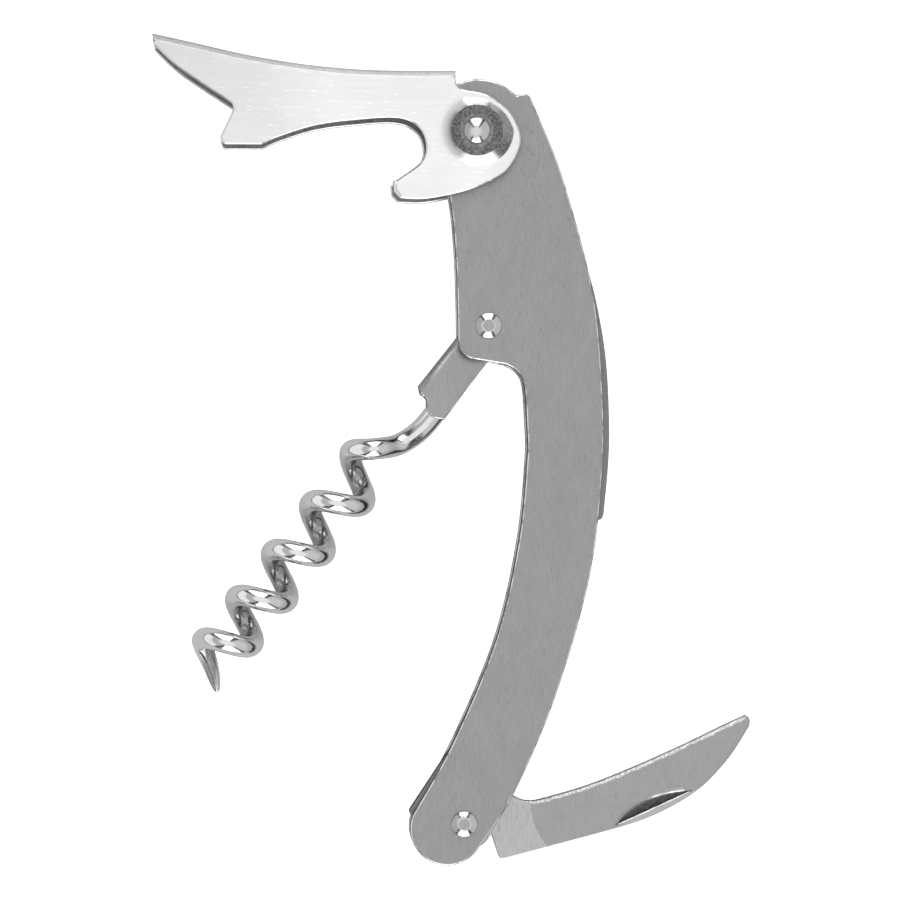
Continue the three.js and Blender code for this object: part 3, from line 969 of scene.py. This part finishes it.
# Places on the worm and its holder are given along it, across it and above its middle, from its pivot.
WORM_ALONG = unit(np.array([-0.62, -0.785]))
WORM_ACROSS = np.array([WORM_ALONG[1], -WORM_ALONG[0]])
WORM_OFFSET = 1.24
HELIX_RADIUS = 3.14
WIRE_RADIUS = 1.65
WIRE_GAP = 0.05
WIRE_STEPS = 620
WIRE_SIDES = 28
WIRE_EVENED = 1.6
POINT_SHARE = 0.12
HELIX_FROM = 27.3
FIRST_PITCH = 10.2
PITCH_LOSS = 0.3
HELIX_TURNS = 4.1
FIRST_PHASE = 0.24
POINT_LENGTH = 9
INNER_SHADE = -0.6
PATH_PER_TURN = 12
PATH_START = [
    (8.6, -1.65, 0),
    (11.5, -1.7, 0),
    (15.0, -1.9, 0),
    (18.6, -1.8, 0),
    (22.2, -0.6, 0),
    (25.1, 2.0, 2.3),
]
PATH_END = [(66.2, 0.5, -1.9), (68.25, -2.2, -0.6)]
HOLDER_SHEET = 0.8
HOLDER_BEND = 1.0
HOLDER_EDGE = 0.25
HOLDER_INNER_EDGE = 0.1
HOLDER_STEP = 0.3
HOLDER_SPACING = 0.6
HOLDER_BENT = [0.0] * 7
TANG_HALF = 1.5
TANG_RADIUS = 3.6


def worm_flat(along, across):
    """Places given from the worm's pivot, along the worm and across it."""
    along, across = np.asarray(along, float), np.asarray(across, float)
    return PIVOTS["worm"] + along[..., None] * WORM_ALONG + across[..., None] * WORM_ACROSS


def worm_path():
    """Points on the wire's middle line: a straight lead-in, an open helix and a short run-out."""
    points = list(PATH_START)
    for i in range(round(HELIX_TURNS * PATH_PER_TURN) + 1):
        turns = i / PATH_PER_TURN
        angle = 2 * math.pi * (FIRST_PHASE + turns)
        points.append((
            HELIX_FROM + FIRST_PITCH * turns - PITCH_LOSS * turns**2,
            WORM_OFFSET + HELIX_RADIUS * math.sin(angle),
            HELIX_RADIUS * math.cos(angle),
        ))
    along, across, rise = np.array(points + PATH_END).T
    return np.column_stack([worm_flat(along, across), MIDDLE + rise])


def through(points, steps):
    """A centripetal curve through points, with even short steps."""
    before = 2 * points[0] - points[1]
    after = 2 * points[-1] - points[-2]
    p = np.vstack([before, points, after])
    made = []
    for a, b, c, d in zip(p, p[1:], p[2:], p[3:]):
        k0, k1, k2 = (np.linalg.norm(q) ** 0.5 for q in (b - a, c - b, d - c))
        m1 = (b - a) / k0 - (c - a) / (k0 + k1) + (c - b) / k1
        m2 = (c - b) / k1 - (d - b) / (k1 + k2) + (d - c) / k2
        t = np.linspace(0, 1, 24, endpoint=False)[:, None]
        made.append(curve(t, b, m1 * k1, c, m2 * k1))
    line = np.vstack(made + [points[-1:]])
    run = distances(line)
    even = np.linspace(0, run[-1], steps + 1)
    return np.column_stack([np.interp(even, run, column) for column in line.T]), run[-1]


def wire():
    """One round wire along the worm's path, ground to a point."""
    line, length = through(worm_path(), WIRE_STEPS)
    # Straight wire has no ripples: its first stretch is evened out.
    run = np.linspace(0, length, len(line))
    spread = np.exp(-(((run[:, None] - run[None]) / WIRE_EVENED) ** 2))
    even = spread @ line / spread.sum(1, keepdims=True)
    share = (ramp(run, 0.5, 4) * (1 - ramp(run, 11, 17)))[:, None]
    line = line + (even - line) * share
    ahead = unit(np.gradient(line, axis=0))
    side = np.cross(ahead[0], UP)
    angles = np.arange(WIRE_SIDES) * 2 * math.pi / WIRE_SIDES
    skin = Skin()
    rows = []
    for n, (centre, forward) in enumerate(zip(line, ahead)):
        side = unit(side - forward * (side @ forward))
        other = np.cross(forward, side)
        left = length * (1 - n / (len(line) - 1))
        narrow = min(1, POINT_SHARE + (1 - POINT_SHARE) * math.sqrt(left / POINT_LENGTH))
        ring = centre + WIRE_RADIUS * narrow * (
            np.cos(angles)[:, None] * side + np.sin(angles)[:, None] * other
        )
        # The side that faces the helix's middle is darkened as painted shade.
        off = centre[:2] - PIVOTS["worm"]
        away = np.array([*((off @ WORM_ACROSS - WORM_OFFSET) * WORM_ACROSS), centre[2] - MIDDLE])
        facing = -unit(ring - centre) @ unit(away)
        within = ramp(off @ WORM_ALONG, HELIX_FROM - 3, HELIX_FROM + 1)
        rows.append(skin.row(ring[:, :2], ring[:, 2], INNER_SHADE * within * ramp(facing, 0.1, 0.8)))
    skin.band(rows)
    for row, centre in ((rows[0], line[0]), (rows[-1], line[-1] + ahead[-1] * 0.1)):
        tip = skin.row(centre[None, :2], centre[2])[0]
        for i in range(WIRE_SIDES):
            skin.faces.append((row[i], row[(i + 1) % WIRE_SIDES], tip))
    piece("worm_wire_polished", skin, "worm", WIRE_STEEL, "worm_wire",
          sharp=math.radians(60))


HOLDER_FOLD = 2.6
HOLDER_FOLD_END = 13.6
HOLDER_END = [(14.3, HOLDER_FOLD - HOLDER_BEND), (14.45, 0.4), (15.0, -0.1), (15.6, -0.6),
              (15.9, -1.4), (15.8, -2.4), (15.1, -3.55)]
HOLDER_OPEN_SIDE = (9.3, -3.36)
HOLDER_OPENS_AT = 4.5
HOLDER_OPEN_FROM = 12.5
TANG_SLOT = 2.75
TANG_ROUND = (1.15, 2 * math.pi - 0.86)


def straight(corners, step):
    """A line from corner to corner with short steps."""
    made = []
    for start, end in zip(corners, corners[1:]):
        start, end = np.array(start, float), np.array(end, float)
        count = max(1, math.ceil(np.linalg.norm(end - start) / step))
        made.append(start + (end - start) * (np.arange(count) / count)[:, None])
    return np.vstack(made + [np.array([corners[-1]], float)])


def holder():
    """One sheet folded along one side: narrow over the tang, and opened out to grip the wire."""
    spread = WIRE_RADIUS + WIRE_GAP + HOLDER_SHEET

    def half(places):
        along = (places - PIVOTS["worm"]) @ WORM_ALONG
        return TANG_HALF + (spread - TANG_HALF) * ramp(along, HOLDER_OPENS_AT, HOLDER_OPEN_FROM)

    fold = straight([(TANG_SLOT, HOLDER_FOLD), (HOLDER_FOLD_END, HOLDER_FOLD)], HOLDER_STEP)
    fold_in = np.tile((0.0, -1.0), (len(fold), 1))
    lean = (HOLDER_END[0][0] - HOLDER_FOLD_END) / (HOLDER_FOLD - HOLDER_END[0][1])
    fold_in[-1] = (lean, -1.0)
    end, _ = through(np.array(HOLDER_END), 36)
    around = np.linspace(*TANG_ROUND, 60)
    tang = np.column_stack([TANG_RADIUS * np.cos(around), -TANG_RADIUS * np.sin(around)])
    side = straight([HOLDER_END[-1], HOLDER_OPEN_SIDE, tang[0]], HOLDER_STEP)
    under = HOLDER_FOLD - HOLDER_BEND
    slot = straight([tang[-1], (tang[-1][0], under), (TANG_SLOT, under)], HOLDER_STEP / 2)
    cut = np.vstack([end[:-1], side[:-1], tang[:-1], slot])
    fold, cut = worm_flat(*fold.T), worm_flat(*cut.T)
    fold_in = fold_in[:, :1] * WORM_ALONG + fold_in[:, 1:] * WORM_ACROSS
    skin = Skin()
    run = distances(cut)
    fade = ramp(run, 0, 0.6) * ramp(run[-1] - run, 0, 0.6)
    folded(
        skin, fold, fold_in, cut, half, HOLDER_SHEET, HOLDER_BEND, HOLDER_EDGE * fade,
        HOLDER_INNER_EDGE * fade, HOLDER_BENT, lambda face: [], HOLDER_SPACING,
    )
    piece("worm_holder_folded", skin, "worm", HOLDER_STEEL, "worm_holder")


wire()
holder()


# ---- Blade ----

NICK_BULGE = 1.75
NICK_DEPTH = 0.5
NICK_LIP = 0.24
GRIND = 0.6
GRIND_FALL = 0.03
EDGE_HALF = 0.12
BLADE_ROUND = 0.12
BLADE_STEP = 0.18
BLADE_SPACING = 0.7
TEETH = 2.9
FINE_TEETH = 6.1
TOOTH_SHARE = 0.2
CHOIL = (9.6, 10.6)
# Of the blade's ten rows, those on the ground bevels.
GROUND_ROWS = (1, 2, 3, 6, 7, 8)


def nick(skin, high):
    """The nail nick: a slope that falls from a curved line to a straight one, with a steep wall there."""
    t = np.linspace(0, 1, 49)[:, None]
    wall = NICK_FROM + (NICK_TO - NICK_FROM) * t
    along = unit(NICK_TO - NICK_FROM)
    away = np.array([-along[1], along[0]])
    swell = np.sin(math.pi * t**0.9) ** 0.85
    swell[0] = swell[-1] = 0
    brow = wall + away * NICK_BULGE * swell
    rows = []
    # The glint is a painted highlight near the curve, and the slope is darkened as painted shade.
    glint = ramp(t[:, 0], 0.45, 0.6) * ramp(1 - t[:, 0], 0.0, 0.1)
    for share in np.linspace(1, 0, 9):
        flat = wall + (brow - wall) * share
        depth = NICK_DEPTH * (1 - share) ** 0.8 * swell[:, 0] ** 0.6
        dark = -0.9 * ramp(1 - share, -0.5, 0.7)
        finish = dark + (1.5 - dark) * glint * (0.8 < share < 0.95)
        rows.append(skin.row(flat, high - depth, finish))
    lip = swell[:, 0] ** 0.3
    # The lip's bright rows are a painted highlight.
    for step, drop, finish in ((0.03, 0.07, 2.0), (0.12, 0.02, 2.0), (NICK_LIP, 0.0, 0.0)):
        rows.append(skin.row(wall - away * step * lip[:, None], high - drop * lip, finish))
    skin.band(rows, closed=False)
    return np.vstack([brow, (wall - away * NICK_LIP * lip[:, None])[-2:0:-1]])


def blade():
    """A flat blank with a ground, finely toothed cutting edge and a nail nick."""
    low, high = heights("blade")
    middle = (low + high) / 2
    outline = smooth(cad_outlines("blade", low)[0], BLADE_STEP)
    inward = mitres(outline)
    pivot = PIVOTS["blade"]
    tip = outline[np.argmax(outline @ np.array([0.7, 0.7]))]
    along = (outline - pivot)[:, 0]
    # Ground on the side towards the lever, from the choil to the tip.
    cutting = (inward[:, 1] < -0.3) * ramp(along, *CHOIL) * ramp(tip[0] - outline[:, 0], 0.1, 0.9)
    run = distances(outline)
    teeth = np.array([noise.noise(Vector((s * TEETH, 0.5, 0.1))) for s in run])
    fine = np.array([noise.noise(Vector((s * FINE_TEETH, 4.5, 0.1))) for s in run])
    width = GRIND * (1 + TOOTH_SHARE * teeth + TOOTH_SHARE * fine)
    bite = 0.05 * np.abs(fine) + 0.03 * np.abs(teeth)
    rows = []
    for n, (share_in, share_down) in enumerate(quarter()):
        plain_in, plain_down = BLADE_ROUND * share_in, BLADE_ROUND * share_down
        ground_in = width * (1 - n / ROUND_STEPS) + bite
        ground_down = GRIND_FALL * n if n < ROUND_STEPS else high - middle - EDGE_HALF
        step_in = plain_in + (ground_in - plain_in) * cutting
        step_down = plain_down + (ground_down - plain_down) * cutting
        rows.append((outline + inward * step_in[:, None], high - step_down))
    rows += [(flat, low + high - level) for flat, level in reversed(rows)]
    skin = Skin()
    # The cut walls are darkened as painted shade; the ground bevels are bright steel.
    raw = np.array(ROUNDED + ROUNDED[::-1])
    made = [
        skin.row(flat, level, wall * (1 - cutting) + 2 * cutting * (n in GROUND_ROWS))
        for n, ((flat, level), wall) in enumerate(zip(rows, np.minimum(raw, 0)))
    ]
    skin.band(made)
    hole = pivot + CUP_HOLE * compass(np.linspace(0, -2 * math.pi, 48, endpoint=False))
    rims = [skin.row(hole, high), skin.row(hole, low)]
    skin.band(rims)
    skin.cap([rows[0][0], hole, nick(skin, high)[::-1]], high, BLADE_SPACING)
    skin.cap([rows[-1][0], hole], low, BLADE_SPACING + 0.2)
    piece("blade_ground", skin, "blade", BLADE_STEEL, "blade")


blade()


# ---- Stage, light and camera ----

FLOOR_GAP = 0.02
FLOOR_HALF = 1500
FLOOR_GLOW = 0.75
FLOOR_PAPER = 0.86
FLOOR_MIRRORED = 0.62
# The camera stands this high over the front plate and this far to the side. FIELD is how much it sees
# there, and FRAMED is the place in the middle of its view.
CAMERA_HEIGHT = 590
CAMERA_SIDE = -30
FIELD = 134.7
FRAMED = (-0.15, 0.19)


def floor():
    skin = Skin()
    grid = np.linspace(-FLOOR_HALF, FLOOR_HALF, 5)
    rows = [
        skin.row(np.column_stack([grid, np.full(5, y)]), LEVER_LOW - FLOOR_GAP) for y in grid
    ]
    skin.band(rows, closed=False)
    mesh = bpy.data.meshes.new("floor")
    mesh.from_pydata([Vector(p) * MM for p in skin.points], [], skin.faces)
    made = bpy.data.objects.new("floor", mesh)
    bpy.context.scene.collection.objects.link(made)
    material = bpy.data.materials.new("pale_floor")
    material.use_nodes = True
    nodes = Nodes(material.node_tree)
    # White paper that the studio overexposes, and a plain grey one where the steel mirrors it.
    glow = nodes.new("Emission")
    glow.inputs["Strength"].default_value = FLOOR_GLOW
    paper = nodes.new("BsdfDiffuse")
    paper.inputs["Color"].default_value = (FLOOR_PAPER, FLOOR_PAPER, FLOOR_PAPER, 1)
    grey = nodes.new("BsdfDiffuse")
    grey.inputs["Color"].default_value = (FLOOR_MIRRORED, FLOOR_MIRRORED, FLOOR_MIRRORED, 1)
    both = nodes.new("AddShader")
    nodes.put(glow.outputs[0], both.inputs[0])
    nodes.put(paper.outputs[0], both.inputs[1])
    seen = nodes.new("MixShader")
    nodes.put(nodes.new("LightPath").outputs["Is Camera Ray"], seen.inputs[0])
    nodes.put(grey.outputs[0], seen.inputs[1])
    nodes.put(both.outputs[0], seen.inputs[2])
    nodes.put(seen.outputs[0], nodes.new("OutputMaterial").inputs[0])
    mesh.materials.append(material)


# What the studio shows in each direction, as radiance.
OVERHEAD = 0.98
SIDES = (0.52, 0.68)
LOW_SHARE = 0.7
SIDE_STRIP = 1.0
END_BOX = 2.4
FLANK = 0.10
BELOW = 0.6
BACKDROP = 0.93


def studio():
    """Soft light from all round: bright above, a white box at each end with darker flanks beside it."""
    world = bpy.data.worlds.new("studio")
    bpy.context.scene.world = world
    world.use_nodes = True
    nodes = Nodes(world.node_tree)
    split = nodes.new("SeparateXYZ")
    nodes.put(nodes.new("TexCoord").outputs["Generated"], split.inputs[0])
    x, y, z = split.outputs
    deep = nodes.maths("MAXIMUM", nodes.maths("ABSOLUTE", y), 0.001)
    turn = nodes.maths("DIVIDE", nodes.maths("ABSOLUTE", x), deep)
    box = nodes.product(
        nodes.spread(turn, 0.42, 0.5, 1.0, 0.0),
        nodes.spread(z, 0.16, 0.22),
        nodes.spread(z, 0.84, 0.89, 1.0, 0.0),
    )
    flank = nodes.product(
        nodes.spread(turn, 0.5, 0.56),
        nodes.spread(turn, 0.75, 0.95, 1.0, 0.0),
        nodes.spread(z, 0.12, 0.2),
        nodes.spread(z, 0.86, 0.93, 1.0, 0.0),
    )
    strip = nodes.product(
        nodes.spread(x, -0.7, -0.6, 1.0, 0.0),
        nodes.spread(z, 0.08, 0.12),
        nodes.spread(z, 0.5, 0.66, 1.0, 0.0),
    )
    side = nodes.spread(x, -0.6, 0.6, *SIDES)
    light = nodes.spread(z, 0.1, 0.5, nodes.product(side, LOW_SHARE), side)
    light = nodes.mixed(strip, light, SIDE_STRIP)
    light = nodes.spread(z, 0.82, 0.95, light, OVERHEAD)
    light = nodes.mixed(flank, light, FLANK)
    light = nodes.mixed(box, light, END_BOX)
    light = nodes.spread(z, -0.02, 0.02, BELOW, light)
    light = nodes.mixed(nodes.new("LightPath").outputs["Is Camera Ray"], light, BACKDROP)
    background = nodes.new("Background")
    nodes.put(light, background.inputs["Color"])
    nodes.put(background.outputs[0], nodes.new("OutputWorld").inputs[0])


def camera():
    aim = Vector((*FRAMED, PLATE_HIGH)) * MM
    place = aim + Vector((CAMERA_SIDE, 0, CAMERA_HEIGHT)) * MM
    data = bpy.data.cameras.new("camera")
    made = bpy.data.objects.new("camera", data)
    bpy.context.scene.collection.objects.link(made)
    back = (place - aim).normalized()
    right = Vector((0, 1, 0)).cross(back).normalized()
    made.matrix_world = Matrix((right, back.cross(right), back)).transposed().to_4x4()
    made.location = place
    data.sensor_width = 36
    data.lens = data.sensor_width * (aim - place).length / (FIELD * MM)
    data.clip_start, data.clip_end = 0.01, 10
    bpy.context.scene.camera = made


floor()
studio()
camera()
bpy.context.scene.view_settings.view_transform = "Standard"
